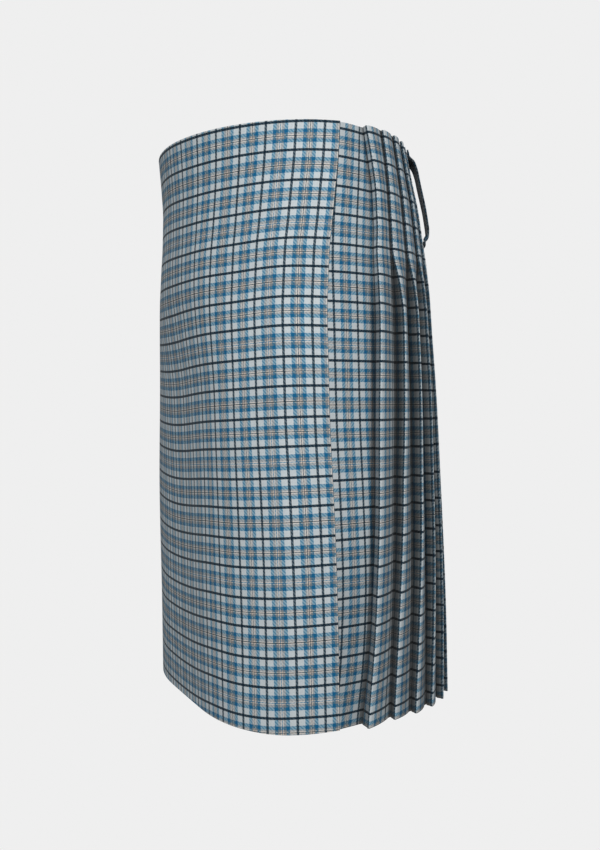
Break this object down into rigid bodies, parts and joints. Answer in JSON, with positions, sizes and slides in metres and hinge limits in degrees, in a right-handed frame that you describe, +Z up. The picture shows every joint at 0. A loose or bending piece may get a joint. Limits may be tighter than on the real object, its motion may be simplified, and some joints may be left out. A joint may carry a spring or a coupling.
{
  "type": "scottish kilt",
  "caption": "Wrapped wool kilt with a flat over apron, an under apron, knife pleats stitched down round the back and belt loops, filled out as worn.",
  "frame": {"origin": "centre of the narrowest ring, the natural waist, where the wearer holds it up", "axes": "+Z up, the wearer faces -Y, +X is the wearer's left"},
  "size_m": [0.3596, 0.3129, 0.58],
  "materials": {
    "over_apron": "matte wool twill",
    "under_apron": "matte wool twill",
    "pleated_back": "matte wool twill",
    "belt_loop_left": "matte wool twill",
    "belt_loop_right": "matte wool twill"
  },
  "bodies": {
    "root": {"over_apron": "over_apron", "under_apron": "under_apron", "pleated_back": "pleated_back", "belt_loop_left": "belt_loop_left", "belt_loop_right": "belt_loop_right"}
  },
  "joints": []
}
